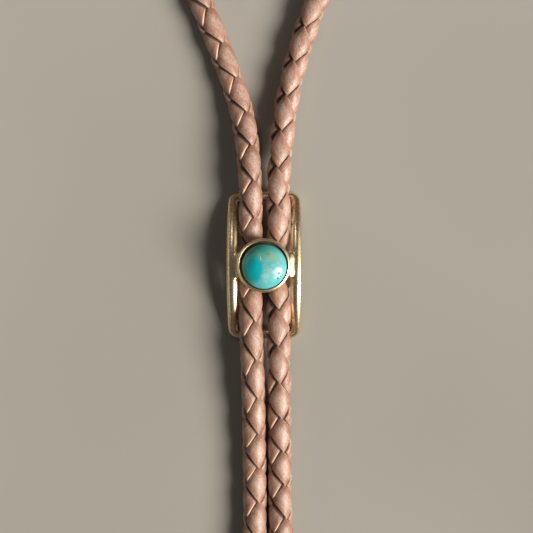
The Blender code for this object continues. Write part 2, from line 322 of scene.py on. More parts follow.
@dataclass(frozen=True)
class Turquoise:
    """Blue-green stone: a deep side, a pale side, tan matrix, chalk and small dark specks, with painted
    shade towards the upper left, painted fill light on the left rim, and a painted highlight and glint.
    """

    middle: Point = (-0.03, SLIDE_MIDDLE_Y - 0.28, 10.0)
    robin: Colour = (0.09, 0.41, 0.42, 1.0)
    pale: Colour = (0.20, 0.49, 0.48, 1.0)
    green: Colour = (0.040, 0.31, 0.27, 1.0)
    # Paler grey-green of the painted fill light on the stone's left rim.
    painted_fill_colour: Colour = (0.15, 0.52, 0.43, 1.0)
    speck: Colour = (0.03, 0.045, 0.045, 1.0)
    patches: tuple = (
        Patch(-1.0, 3.0, 2.8, 1.5, (0.040, 0.33, 0.28, 1.0), 0.9, 0.7),
        Patch(-1.1, 3.7, 1.0, 0.5, (0.02, 0.15, 0.13, 1.0), 0.5, 0.8, 1.4),
        Patch(-2.5, 2.7, 1.2, 0.9, (0.060, 0.24, 0.14, 1.0), 0.7, 0.8, 1.4),
        Patch(-1.3, 2.4, 0.6, 0.35, (0.14, 0.24, 0.18, 1.0), 0.6, 0.8, 1.6),
        Patch(1.4, 2.1, 1.5, 1.05, (0.24, 0.43, 0.30, 1.0), 0.65, 0.9, 1.2),
        Patch(-2.3, -0.7, 1.8, 2.85, (0.001, 0.26, 0.24, 1.0), 0.97, 0.35, 0.45),
        Patch(-1.9, -0.75, 1.5, 2.8, (0.001, 0.33, 0.35, 1.0), 0.95, 0.6, 0.5),
        Patch(-1.15, -0.2, 0.85, 1.9, (0.002, 0.42, 0.48, 1.0), 0.8, 0.7, 0.8),
        # Painted glint: a small pale upright streak.
        Patch(-0.73, 1.6, 0.16, 0.50, (0.42, 0.58, 0.55, 1.0), 0.7, 0.5, 0.3),
        Patch(-2.3, 2.35, 0.35, 0.10, (0.25, 0.42, 0.36, 1.0), 0.5, 0.8, 0.6),
        Patch(0.75, 2.6, 0.58, 0.72, (0.17, 0.27, 0.11, 1.0), 0.75, 0.9, 1.4),
        Patch(1.7, 1.45, 0.85, 0.48, (0.25, 0.39, 0.19, 1.0), 0.7, 0.9, 1.5),
        Patch(2.85, 0.7, 0.42, 0.34, (0.40, 0.54, 0.30, 1.0), 0.4, 0.9, 1.6),
        Patch(0.70, -0.3, 0.46, 0.36, (0.27, 0.34, 0.29, 1.0), 0.6, 0.8, 1.6),
        Patch(1.3, -0.65, 0.60, 0.34, (0.32, 0.44, 0.36, 1.0), 0.6, 0.8, 1.6),
        Patch(0.3, -1.1, 0.34, 0.18, (0.04, 0.28, 0.38, 1.0), 0.7, 0.8, 1.6),
        # Chalk with a painted highlight over it, and below left of it the highlight's painted fading
        # tail.
        Patch(2.85, -0.7, 0.75, 0.5, (0.78, 0.85, 0.82, 1.0), 0.8, 0.6, 1.2),
        Patch(2.1, -1.2, 0.6, 0.5, (0.55, 0.72, 0.72, 1.0), 0.6, 0.8, 1.2),
        Patch(0.2, -2.0, 1.0, 0.5, (0.28, 0.55, 0.58, 1.0), 0.5, 0.7, 1.2),
        Patch(1.5, -2.8, 1.0, 0.5, (0.10, 0.56, 0.62, 1.0), 0.55, 0.9, 1.4),
        Patch(-1.2, -3.75, 0.9, 0.4, (0.04, 0.34, 0.44, 1.0), 0.55, 0.8, 1.2),
    )
    pits: tuple = (
        Patch(2.99, -1.4, 0.20, 0.34, (0.04, 0.15, 0.18, 1.0), 0.9, 0.7, 0.6),
        Patch(2.78, -2.45, 0.26, 0.30, (0.03, 0.14, 0.17, 1.0), 0.95, 0.7, 0.6),
        Patch(3.3, -2.0, 0.10, 0.12, (0.02, 0.10, 0.12, 1.0), 0.8, 0.4, 0.4),
    )

    def mask(self, recipe: Recipe, place: Value, patch: Patch, wander: Value) -> Value:
        """Makes one patch's mask, with an edge that wanders.

        Args:
            recipe: The recipe that the mask is for.
            place: Millimetres from the stone's middle.
            patch: The patch.
            wander: The noise that the edge follows.

        Returns:
            The mask, 1 inside the patch.
        """
        moved = recipe.vector("SUBTRACT", place, (patch.x, patch.y, 0.0))
        shrunk = recipe.scaled(moved, (1 / patch.wide, 1 / patch.high, 0.0))
        far = recipe.node("ShaderNodeVectorMath", {"operation": "LENGTH"}, {0: shrunk}, "Value")
        return (far + (wander - 0.5) * patch.wander).rise(1.0 + patch.soft / 2, 1.0 - patch.soft)

    def material(self) -> bpy.types.Material:
        """Builds the material round the stone's own middle.

        Returns:
            The material.
        """
        recipe = Recipe("turquoise_stone")
        place = recipe.vector("SUBTRACT", recipe.place(), self.middle)
        right = recipe.node("ShaderNodeSeparateXYZ", {}, {0: place}, "X")
        up = recipe.node("ShaderNodeSeparateXYZ", {}, {0: place}, "Y")
        clouds = recipe.noise(place, 0.32, 5.0, 0.6)
        mottle = recipe.noise(place, 1.1, 5.0, 0.65)
        grit = recipe.noise(place, 4.5, 4.0, 0.7)

        colour = recipe.mix((clouds * 0.7 + mottle * 0.6).rise(0.5, 0.85), self.robin, self.pale)
        # Painted shade: greener and darker towards the upper left, away from the light, broken up by
        # the stone's own mottle.
        shade = (up * 0.25 - right * 0.16 + (mottle - 0.5) * 0.7).rise(-0.1, 1.0)
        colour = recipe.mix(shade * 0.7, colour, self.green)
        # Painted fill light: the left rim is paler, standing in for light from the left.
        painted_fill_margin = (right + (clouds - 0.5) * 1.5).rise(-2.4, -3.8)
        colour = recipe.mix(painted_fill_margin * 0.9, colour, self.painted_fill_colour)
        for patch in self.patches:
            share = self.mask(recipe, place, patch, mottle)
            colour = recipe.mix(share * patch.strength, colour, patch.colour)
        veins = recipe.cells(place, 0.5, "DISTANCE_TO_EDGE")
        vein = (veins + (grit - 0.5) * 0.10).rise(0.03, 0.0) * mottle.rise(0.46, 0.6)
        specks = (recipe.cells(place, 1.3) + (grit - 0.5) * 0.2).rise(0.13, 0.06)
        marks = (vein * 0.4).most(specks * clouds.rise(0.46, 0.56) * 0.7)
        colour = recipe.mix(marks, colour, self.speck)
        for pit in self.pits:
            share = self.mask(recipe, place, pit, mottle)
            colour = recipe.mix(share * pit.strength, colour, pit.colour)
            marks = marks.most(share)
        recipe.bump(mottle * 0.4 + grit * 0.25 - marks * 0.8, 0.3, 0.06)
        rough = 0.20 + mottle * 0.12 + marks * 0.5
        return recipe.finish(Base_Color=colour, Roughness=rough, Specular_IOR_Level=0.5)


@dataclass(frozen=True)
class Matt:
    """A dull, mottled surface: the dark setting paste, which also paints the shade round the stone, or
    the pale ground that the tie lies on.
    """

    name: str
    low: Colour
    high: Colour
    grain: tuple
    span: tuple
    relief: tuple = ()

    def material(self) -> bpy.types.Material:
        """Builds the material from one noise.

        Returns:
            The material.
        """
        recipe = Recipe(self.name)
        grain = recipe.noise(recipe.place(), *self.grain)
        colour = recipe.mix(grain.rise(*self.span), self.low, self.high)
        if self.relief:
            recipe.bump(grain, *self.relief)
        return recipe.finish(Base_Color=colour, Roughness=0.85, Specular_IOR_Level=0.2)


# Dark setting paste; as the bedding round the stone's foot it also paints the shade in the gap.
PASTE_AND_GAP_SHADE = Matt(
    "setting_paste_and_gap_shade",
    low=(0.035, 0.026, 0.018, 1.0),
    high=(0.13, 0.10, 0.07, 1.0),
    grain=(6.0, 4.0, 0.7),
    span=(0.4, 0.75),
    relief=(0.6, 0.06),
)
PALE_GROUND = Matt(
    "pale_ground",
    low=(0.325, 0.306, 0.266, 1.0),
    high=(0.350, 0.331, 0.294, 1.0),
    grain=(0.01, 2.0),
    span=(0.3, 0.7),
)


# Bench work


def rounded(middle: tuple[float, float], radius: float, start: float, end: float, count: int) -> list:
    """Returns a number of points on a plane arc between two angles in degrees."""
    angles = [math.radians(start + (end - start) * i / (count - 1)) for i in range(count)]
    return [(middle[0] + radius * math.cos(a), middle[1] + radius * math.sin(a)) for a in angles]


def declare(piece: bpy.types.Object, node: str | None) -> None:
    """Says what a piece rides on and stands for, and reports it.

    Args:
        piece: The piece, in its place.
        node: The CAD node that it stands for, if any.
    """
    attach(piece, BODY)
    if node:
        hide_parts(node)
    log.info("%s: %d faces", piece.name, len(piece.data.polygons))


class Bench:
    """Hand tools for one mesh at a time, in millimetres from the slide's middle."""

    MERGE = 1e-4

    @staticmethod
    def clear() -> None:
        """Leaves every object and leaves nothing selected."""
        if bpy.context.object and bpy.context.object.mode != "OBJECT":
            bpy.ops.object.mode_set(mode="OBJECT")
        bpy.ops.object.select_all(action="DESELECT")

    @staticmethod
    def take(thing: bpy.types.Object) -> None:
        """Makes this the only object in hand.

        Args:
            thing: The object.
        """
        Bench.clear()
        thing.select_set(True)
        bpy.context.view_layer.objects.active = thing

    @staticmethod
    def placed(name: str) -> bpy.types.Object:
        """Names the primitive in hand and puts its place, turn and scale into its mesh.

        Args:
            name: Its name.

        Returns:
            The object.
        """
        thing = bpy.context.object
        thing.name = thing.data.name = name
        bpy.ops.object.transform_apply(location=True, rotation=True, scale=True)
        return thing

    @staticmethod
    def edit(choice: str = "DESELECT") -> None:
        """Goes into edit mode, with nothing selected or with all of it."""
        bpy.ops.object.mode_set(mode="EDIT")
        bpy.ops.mesh.select_all(action=choice)

    @staticmethod
    def select(thing: bpy.types.Object, test: Callable[[Vector], bool]) -> None:
        """Selects vertices by their place.

        Args:
            thing: The object, in edit mode.
            test: Says of a vertex's place if it counts.
        """
        bpy.ops.mesh.select_mode(type="VERT")
        bpy.ops.mesh.select_all(action="DESELECT")
        bpy.ops.object.mode_set(mode="OBJECT")
        for vertex in thing.data.vertices:
            vertex.select = test(vertex.co)
        bpy.ops.object.mode_set(mode="EDIT")

    @staticmethod
    def close() -> None:
        """Merges doubles, turns all faces outwards and leaves edit mode."""
        bpy.ops.mesh.select_all(action="SELECT")
        bpy.ops.mesh.remove_doubles(threshold=Bench.MERGE)
        bpy.ops.mesh.normals_make_consistent(inside=False)
        bpy.ops.object.mode_set(mode="OBJECT")

    @staticmethod
    def modify(thing: bpy.types.Object, kind: str, **settings: object) -> None:
        """Adds a modifier and applies it.

        Args:
            thing: The object.
            kind: The modifier's type.
            settings: Its settings.
        """
        Bench.take(thing)
        modifier = thing.modifiers.new(kind.title(), kind)
        for name, value in settings.items():
            setattr(modifier, name, value)
        bpy.ops.object.modifier_apply(modifier=modifier.name)

    @staticmethod
    def ripple(thing: bpy.types.Object, name: str, scale: float, strength: float) -> None:
        """Gives a surface the slight waves of hand work.

        Args:
            thing: The object.
            name: The waves' name.
            scale: How wide they are.
            strength: How far they move the surface.
        """
        waves = bpy.data.textures.new(name, "CLOUDS")
        waves.noise_scale, waves.noise_depth = scale, 2
        settings = {"strength": strength, "mid_level": 0.5, "texture_coords": "LOCAL"}
        Bench.modify(thing, "DISPLACE", texture=waves, **settings)

    @staticmethod
    def turned(
        name: str, profile: Sequence[Point], middle: Point, axis: Point, steps: int
    ) -> bpy.types.Object:
        """Turns a profile about an axis, as on a lathe.

        Args:
            name: The object's name.
            profile: Points of the profile, in order.
            middle: A point on the axis.
            axis: The axis's direction.
            steps: How many steps one turn has.

        Returns:
            The turned object, closed and facing outwards.
        """
        Bench.clear()
        bpy.ops.mesh.primitive_plane_add(size=1.0, location=profile[0])
        thing = Bench.placed(name)
        bpy.ops.object.mode_set(mode="EDIT")
        bpy.ops.mesh.select_mode(type="VERT")
        bpy.ops.mesh.select_all(action="SELECT")
        bpy.ops.mesh.merge(type="CENTER")
        for before, after in zip(profile, profile[1:]):
            step = [b - a for a, b in zip(before, after)]
            bpy.ops.mesh.extrude_region_move(TRANSFORM_OT_translate={"value": step})
        bpy.ops.mesh.select_all(action="SELECT")
        bpy.ops.mesh.spin(steps=steps, angle=FULL_TURN, center=middle, axis=axis)
        Bench.close()
        return thing

    @staticmethod
    def upright(
        name: str, points: Sequence[tuple[float, float]], middle: tuple[float, float], steps: int
    ) -> bpy.types.Object:
        """Turns a profile about an upright axis.

        Args:
            name: The object's name.
            points: The profile's radii and heights, in order.
            middle: Where the axis stands.
            steps: How many steps one turn has.

        Returns:
            The turned object, closed and facing outwards.
        """
        x, y = middle
        profile = [(x + radius, y, height) for radius, height in points]
        return Bench.turned(name, profile, (x, y, 0.0), (0.0, 0.0, 1.0), steps)

    @staticmethod
    def deliver(
        thing: bpy.types.Object,
        angle: float,
        material: bpy.types.Material,
        node: str | None = None,
        slot: Slot | None = None,
    ) -> bpy.types.Object:
        """Args:
            thing: The object.
            angle: Up to how many degrees it is shaded smooth.
            material: Its material.
            node: The CAD node that it stands for, if any.
            slot: The slot of its finish, if any. It is not used.

        Returns:
            The same object.
        """
        Bench.take(thing)
        bpy.ops.object.shade_smooth_by_angle(angle=math.radians(angle))
        thing.scale = (MM, MM, MM)
        thing.location = (0.0, SLIDE_MIDDLE_Y * MM, 0.0)
        bpy.ops.object.transform_apply(location=True, rotation=True, scale=True)
        thing.data.materials.clear()
        thing.data.materials.append(material)
        declare(thing, node)
        return thing


# The cord


@dataclass
class CordLine:
    """The middle line of the whole cord, from the left free end round to the right one."""

    neck: tuple = (
        (-2.85, 0.15, 2.6), (-2.85, 2.2, 2.63), (-2.83, 8, 3.8), (-2.78, 15, 4.7), (-3.15, 21, 4.5),
        (-4.6, 31, 3.2), (-8.4, 42.6, 2.4), (-13.2, 54.4, 2.4), (-23.5, 78, 2.4),
        (-40.5, 115, 2.4), (-57.5, 153, 2.4), (-67, 190, 2.4), (-61, 226, 2.4), (-36, 254, 2.4),
        (0, 263, 2.4), (36, 254, 2.4), (61, 226, 2.4), (67, 190, 2.4), (57, 153, 2.4),
        (38.5, 115, 2.4), (20.3, 78, 2.4), (10.7, 54.4, 2.4), (6.7, 42.6, 2.4), (4.3, 31, 3.2),
        (3.18, 21, 4.5), (2.92, 15, 4.7), (2.96, 8, 3.8), (2.96, 2.2, 2.63), (2.95, 0.15, 2.6),
    )
    left_tail: tuple = (
        (-2.85, -0.15, 2.6), (-2.85, -2.2, 2.63), (-2.82, -8, 3.8), (-2.65, -15, 4.7),
        (-2.42, -21, 4.5), (-2.13, -31, 3.2), (-2.0, -42, 2.5), (-1.95, -51, 2.5),
        (-2, -58, 2.6), (-2, -61, 2.6),
    )
    right_tail: tuple = (
        (2.95, -0.15, 2.6), (2.96, -2.2, 2.63), (2.96, -8, 3.8), (2.95, -15, 4.7),
        (3.03, -21, 4.5), (3.13, -31, 3.2), (3.17, -42, 2.5), (3.28, -51, 2.5),
        (3.55, -58, 2.6), (3.6, -61, 2.6),
    )
    floor_height: float = 2.4
    spacing: float = 0.25
    joints: tuple = field(init=False)
    along: np.ndarray = field(init=False)
    middle: np.ndarray = field(init=False)
    top: np.ndarray = field(init=False)
    side: np.ndarray = field(init=False)

    def __post_init__(self) -> None:
        """Joins the three runs and works out the line's own directions."""
        runs = [self.smooth(run) for run in (self.left_tail[::-1], self.neck, self.right_tail)]
        points = np.vstack(runs)
        steps = np.linalg.norm(np.diff(points, axis=0), axis=1)
        run = np.concatenate(([0.0], np.cumsum(steps)))
        first, second = len(runs[0]), len(runs[0]) + len(runs[1])
        self.joints = (run[first - 1], run[first], run[second - 1], run[second])
        self.along = np.linspace(0.0, run[-1], round(run[-1] / self.spacing) + 1)
        self.middle = np.column_stack([np.interp(self.along, run, points[:, k]) for k in range(3)])
        ahead = np.gradient(self.middle, axis=0)
        ahead /= np.linalg.norm(ahead, axis=1)[:, None]
        upright = np.array((0.0, 0.0, 1.0))
        self.top = upright - ahead * (ahead @ upright)[:, None]
        self.top /= np.linalg.norm(self.top, axis=1)[:, None]
        self.side = np.cross(self.top, ahead)

    def smooth(self, route: Sequence[Point]) -> np.ndarray:
        """Returns points of the natural cubic curve through a route.

        Args:
            route: The route's points.

        Returns:
            Points along the curve, never lower than the cord lies on the table.
        """
        knots = np.array(route, float)
        steps = np.linalg.norm(np.diff(knots, axis=0), axis=1)
        along = np.concatenate(([0.0], np.cumsum(steps)))
        count = len(knots)
        system, bends = np.eye(count), np.zeros((count, 3))
        for i in range(1, count - 1):
            before, after = steps[i - 1], steps[i]
            system[i, i - 1 : i + 2] = before, 2 * (before + after), after
            bends[i] = 6 * ((knots[i + 1] - knots[i]) / after - (knots[i] - knots[i - 1]) / before)
        bends = np.linalg.solve(system, bends)
        fine = np.linspace(0.0, along[-1], 160 * count)
        index = np.clip(np.searchsorted(along, fine, side="right") - 1, 0, count - 2)
        width = steps[index][:, None]
        right = ((fine - along[index]) / steps[index])[:, None]
        left = 1 - right
        curve = left * knots[index] + right * knots[index + 1]
        pull = (left**3 - left) * bends[index] + (right**3 - right) * bends[index + 1]
        curve += width**2 / 6 * pull
        curve[:, 2] = np.maximum(curve[:, 2], self.floor_height)
        return curve

    def at(self, along: np.ndarray) -> tuple[np.ndarray, np.ndarray, np.ndarray]:
        """Reads the line at some places.

        Args:
            along: The places, in millimetres along the line.

        Returns:
            The middle, the top direction and the side direction at each place.
        """
        return tuple(
            np.stack([np.interp(along, self.along, part[:, k]) for k in range(3)], axis=-1)
            for part in (self.middle, self.top, self.side)
        )

    def path(self, start: float, end: float, spacing: float = 2.0) -> list[list[float]]:
        """Lays points along a stretch of the line.

        Args:
            start: Where it starts along the line.
            end: Where it ends.
            spacing: How far apart the points are.

        Returns:
            The points, in metres, in the row frame.
        """
        places = np.linspace(start, end, round(abs(end - start) / spacing) + 1)
        points = self.at(places)[0] + np.array((0.0, SLIDE_MIDDLE_Y, 0.0))
        return (points * MM).tolist()


@dataclass
class Plait:
    """Four flat laces, two each way round, that pass over one and under one."""

    line: CordLine
    grid_step: float = 0.5
    evening: int = 17
    crown: float = 2.54
    thickness: float = 0.82
    lift: float = 0.48
    # Half a lace's width in crossings, for each way round, on the left side and on the right.
    half_widths: tuple = ((0.489, 0.446), (0.452, 0.418))
    sides: tuple = (20.0, 80.0)
    # How much longer the laces of the first way stay on top.
    bias: float = 0.22
    # How many degrees the laces of the second way are turned on, at places in crossings.
    lag: tuple = (
        (0.0, 3.0), (9.0, 3.0), (13.0, 6.0), (20.0, 6.0), (80.0, -12.0), (94.8, -12.0),
        (96.6, -1.0), (101.0, -1.0),
    )
    # Where the laces' edges get painted shade, in crossings, and how much for each way round.
    edge_shade_places: tuple = (40.0, 60.0, 94.8, 95.8)
    edge_shade_most: tuple = (0.3, 1.0)
    unevenness: float = 0.05
    squareness: float = 2.0
    steepening: float = 0.16
    core_radius: float = 1.05
    core_sides: int = 12
    lowest: float = 0.02
    sections: int = 18
    # Places along the cord in millimetres, the crossings up to there and their turn in degrees.
    crossings: tuple = (
        (0.0, -0.1, -30), (16.0, 2, -30), (22.8, 3, -28), (30.1, 4, -37), (37.9, 5, -33),
        (45.7, 6, -34), (53.1, 7, -36), (75.2, 10, -27), (96.4, 13, -38), (104.2, 14, -36),
        (111.8, 15, -36), (638.9, 85, -12), (646.5, 86, -12), (653.6, 87, -10), (676.3, 90, -14),
        (683.3, 91, -6), (698.2, 93, -6), (705.7, 94, -6), (712.6, 95, -3), (720.6, 96, 6),
        (727.4, 97, 16), (734.6, 98, 27), (741.4, 99, 36), (753.8, 100.75, 40),
    )
    # A lace's section: shares of its half width and of its thickness.
    outline: tuple = (
        (-0.92, 0.47), (-0.55, 0.52), (0.0, 0.54), (0.55, 0.52), (0.92, 0.47), (0.985, 0.34),
        (1.0, -0.1), (0.95, -0.42), (0.5, -0.48), (-0.5, -0.48), (-0.95, -0.42), (-1.0, -0.1),
        (-0.985, 0.34),
    )
    half_lace: float = 2.15

    def __post_init__(self) -> None:
        """Works out how the plait's turns run along the cord."""
        table = np.array(self.crossings, float)
        self.grid = np.arange(0.0, table[-1, 0], self.grid_step)
        kernel = np.ones(self.evening) / self.evening
        self.count = self._even(np.interp(self.grid, table[:, 0], table[:, 1]), kernel)
        self.turn = self._even(np.radians(np.interp(self.grid, table[:, 0], table[:, 2])), kernel)

    @staticmethod
    def _even(values: np.ndarray, kernel: np.ndarray) -> np.ndarray:
        """Evens out a row of values and keeps its ends.

        Args:
            values: The values.
            kernel: The weights of the neighbours.

        Returns:
            As many values.
        """
        reach = len(kernel) // 2
        slope = (values[1] - values[0], values[-1] - values[-2])
        before = values[0] - slope[0] * np.arange(reach, 0, -1)
        after = values[-1] + slope[1] * np.arange(1, reach + 1)
        return np.convolve(np.concatenate((before, values, after)), kernel, mode="valid")

    def rise(self, phase: np.ndarray, way: int) -> np.ndarray:
        """Returns how high a lace lies, from -1 under to 1 over."""
        wave = np.cos(FULL_TURN * phase) + self.bias * way
        return np.tanh(self.squareness * wave) / math.tanh(self.squareness)

    def wander(self, count: np.ndarray, seed: float) -> np.ndarray:
        """Returns a slow, repeatable drift between -1 and 1 along a lace."""
        waves = ((1.31, 0.5), (2.17, 0.3), (3.61, 0.2))
        return sum(a * np.sin(f * count + 7.7 * seed * f) for f, a in waves)

    def lace(self, way: int, which: int, start: float, end: float) -> dict:
        """Lays one lace.

        Args:
            way: 1 for a lace that turns with the line, -1 for one that turns against it.
            which: 0 or 1, the lace of its pair.
            start: Where it starts, counted in crossings.
            end: Where it ends, counted in crossings.

        Returns:
            The points of its sections, and for each section its place along the lace, how
            deep it is sunk, which sets painted shade, and how much painted shade its edges get.
        """
        sections = max(3, round((end - start) * self.sections))
        count = np.linspace(start, end, sections + 1)[:, None]
        share, depth = np.array(self.outline).T
        phase = count if way > 0 else count - 0.5
        swing = math.pi * phase - self.steepening * np.sin(FULL_TURN * phase)
        seed, second = 1.7 * which + 0.9 * way, int(way < 0)
        half = np.interp(count, self.sides, self.half_widths[second])
        across = half * (1 + self.unevenness * self.wander(count, seed)) * share[None, :]
        along = np.interp(count + across / 2, self.count, self.grid)
        turn = np.interp(along, self.grid, self.turn)
        begin = math.pi * which + (0.0 if way > 0 else math.pi / 2)
        angle = turn + begin + way * swing - way * across * math.pi / 2
        if second:
            angle = angle + np.radians(np.interp(count, *np.array(self.lag).T))
        angle = angle + self.unevenness * self.wander(count, seed + 4.1)
        mean = self.crown - self.lift - self.thickness * max(depth)
        height = self.rise(phase, way)
        radius = mean + self.lift * height + self.thickness * depth[None, :]
        radius = radius + self.unevenness * self.wander(count, seed + 8.3)
        middle, top, side = self.line.at(along)
        points = middle + radius[..., None] * (
            np.cos(angle)[..., None] * top + np.sin(angle)[..., None] * side
        )
        points[..., 2] = np.maximum(points[..., 2], self.lowest)
        length = np.interp(count, self.count, self.grid) * math.sqrt(2.0) + 40 * which + 90 * way
        # Painted shade on the edges by place along the cord; on half of each turn of the second way's
        # laces, less of it and of the crease shade is kept.
        most = self.edge_shade_most[second]
        painted_edge_shade = np.interp(count, self.edge_shade_places, (0.0, most, most, 0.0))
        shade_kept = 1 - 0.8 * painted_edge_shade * second * (np.sin(FULL_TURN * phase) > 0)
        return {
            "points": points,
            "length": length[:, 0],
            "sunk": ((1 - height) / 2 * shade_kept)[:, 0],
            "painted_edge_shade": (painted_edge_shade * shade_kept)[:, 0],
        }

    def across_map(self) -> np.ndarray:
        """Measures from a lace's middle line round its outline.

        Returns:
            The distance of each point of the outline.
        """
        share, depth = np.array(self.outline).T
        flat = np.column_stack((share * self.half_lace, depth * self.thickness))
        crest = int(np.argmax(depth))
        out = np.zeros(len(flat))
        for way in (1, -1):
            run, here = 0.0, crest
            for _ in range(len(flat) // 2):
                there = (here + way) % len(flat)
                run += float(np.linalg.norm(flat[there] - flat[here]))
                out[there] = run * way
                here = there
        return out

    def core(self, start: float, end: float) -> np.ndarray:
        """Lays the core inside the laces, which the leather paints dark as shade.

        Args:
            start: Where it starts along the cord.
            end: Where it ends.

        Returns:
            The points of its sections.
        """
        along = np.linspace(start, end, max(2, round((end - start) / 2.0)) + 1)
        angle = np.linspace(0.0, FULL_TURN, self.core_sides, endpoint=False)
        middle, top, side = self.line.at(along)
        return middle[:, None] + self.core_radius * (
            np.cos(angle)[None, :, None] * top[:, None] + np.sin(angle)[None, :, None] * side[:, None]
        )

    def build(self, name: str, start: float, end: float) -> bpy.types.Object:
        """Builds a stretch of the plait as one mesh.

        Args:
            name: The piece's name.
            start: Where it starts along the cord.
            end: Where it ends along the cord.

        Returns:
            The piece, in its place in the row frame.
        """
        first, last = np.interp((start, end), self.grid, self.count)
        vertices, faces, maps = [], [], []
        marks = {"sunk": [], "painted_edge_shade": []}
        across = self.across_map()
        for way in (1, -1):
            for which in (0, 1):
                lace = self.lace(way, which, first, last)
                sections, corners = lace["points"].shape[:2]
                faces += self.skin(len(vertices), sections, corners)
                vertices += lace["points"].reshape(-1, 3).tolist()
                maps += [(a, v) for v in lace["length"] for a in across]
                for mark, values in marks.items():
                    values += [value for value in lace[mark] for _ in across]
        core = self.core(start, end)
        faces += self.skin(len(vertices), *core.shape[:2])
        vertices += core.reshape(-1, 3).tolist()
        maps += [(3.2, 0.0)] * core[..., 0].size
        # The core gets full painted shade.
        for values in marks.values():
            values += [1.0] * core[..., 0].size

        mesh = bpy.data.meshes.new(name)
        place = np.array(vertices) + np.array((0.0, SLIDE_MIDDLE_Y, 0.0))
        mesh.from_pydata((place * MM).tolist(), [], faces)
        layer = mesh.uv_layers.new(name="lace")
        corner = np.empty(len(mesh.loops), int)
        mesh.loops.foreach_get("vertex_index", corner)
        layer.data.foreach_set("uv", np.array(maps, float)[corner].ravel())
        for mark, values in marks.items():
            mesh.attributes.new(mark, "FLOAT", "POINT").data.foreach_set("value", values)
        thing = bpy.data.objects.new(name, mesh)
        bpy.context.scene.collection.objects.link(thing)
        Bench.take(thing)
        Bench.edit("SELECT")
        bpy.ops.mesh.normals_make_consistent(inside=False)
        bpy.ops.object.mode_set(mode="OBJECT")
        bpy.ops.object.shade_smooth()
        return thing

    @staticmethod
    def skin(base: int, sections: int, corners: int) -> list:
        """Lays faces round a row of sections, with an end face at each end.

        Args:
            base: The first point's number.
            sections: How many sections there are.
            corners: How many points each has.

        Returns:
            The faces.
        """
        faces = []
        for i in range(sections - 1):
            low, high = base + i * corners, base + (i + 1) * corners
            for j in range(corners):
                k = (j + 1) % corners
                faces.append((low + j, low + k, high + k, high + j))
        final = base + (sections - 1) * corners
        faces.append(tuple(base + j for j in reversed(range(corners))))
        faces.append(tuple(final + j for j in range(corners)))
        return faces


@dataclass
class TieTip:
    """A plain metal tip with a rolled mouth, a collar and a tapered, rounded end."""

    name: str
    node: str
    x: float
    mouth_y: float = -60.75
    end_y: float = -81.3
    radius: float = 2.6
    mouth_radius: float = 2.44
    mouth_depth: float = 1.4
    line_drop: float = 0.9
    line_depth: float = 0.14
    line_edges: tuple = (0.1, 0.22, 0.32)
    collar: float = 4.3
    groove: float = 0.35
    groove_width: float = 0.9
    edge: float = 0.16
    end_radius: float = 1.7
    steps: int = 72
    smooth_to: float = 32.0

    def profile(self) -> list[Point]:
        """Works out the tip's profile.

        Returns:
            Its points, from inside the mouth to the end.
        """
        lip = (self.radius - self.mouth_radius) / 2
        floor_y = self.mouth_y - self.mouth_depth
        collar_y = self.mouth_y - self.collar
        body_y = collar_y - self.groove_width
        inner = self.radius - self.groove
        points = [(0.0, floor_y), (self.mouth_radius, floor_y)]
        points += rounded((self.mouth_radius + lip, self.mouth_y - lip), lip, 180, 0, 7)
        line_y, low = self.mouth_y - self.line_drop, self.radius - self.line_depth
        first, second, third = (line_y - down for down in self.line_edges)
        points += [(self.radius, line_y), (low, first), (low, second), (self.radius, third)]
        points += rounded((self.radius - self.edge, collar_y + self.edge), self.edge, 0, -90, 4)
        points += [(inner, collar_y), (inner, body_y)]
        points += rounded((self.radius - self.edge, body_y - self.edge), self.edge, 90, 0, 4)
        points += rounded((0.0, self.end_y + self.end_radius), self.end_radius, 4, -90, 12)
        return [(self.x + out, y, self.radius) for out, y in points]

    def build(self, gold: bpy.types.Material) -> bpy.types.Object:
        """Turns the tip and sets it in its place.

        Args:
            gold: Its material.

        Returns:
            The tip.
        """
        middle = (self.x, 0.0, self.radius)
        tip = Bench.turned(self.name, self.profile(), middle, (0.0, 1.0, 0.0), self.steps)
        return Bench.deliver(tip, self.smooth_to, gold, self.node, Slot.GOLD)


@dataclass
class TieCord:
    """The cord in three runs: round the neck and the two free ends with their tips."""

    diameter: float = 0.0048
    tail_length: float = 0.0612
    tips_x: tuple = (-2.0, 3.6)

    def build(self, leather: bpy.types.Material, gold: bpy.types.Material) -> None:
        """Args:
            leather: The laces' material.
            gold: The tips' material.
        """
        line = CordLine()
        plait = Plait(line)
        left_end, neck_start, neck_end, right_start = line.joints
        left_tip = TieTip("tip_cap_left", "tip_left", self.tips_x[0]).build(gold)
        right_tip = TieTip("tip_cap_right", "tip_right", self.tips_x[1]).build(gold)
        total = float(line.along[-1])
        runs = (
            ("tail_plait_left", "tail_left", 0.0, left_end, (left_end, 0.0), left_tip),
            ("neck_plait", "neck_loop", neck_start, neck_end, None, None),
            ("tail_plait_right", "tail_right", right_start, total, (right_start, total), right_tip),
        )
        for name, node, start, end, free, tip in runs:
            run = plait.build(name, start, end)
            run.data.materials.append(leather)
            declare(run, node)
            if free:
                path = line.path(*free)


# The slide


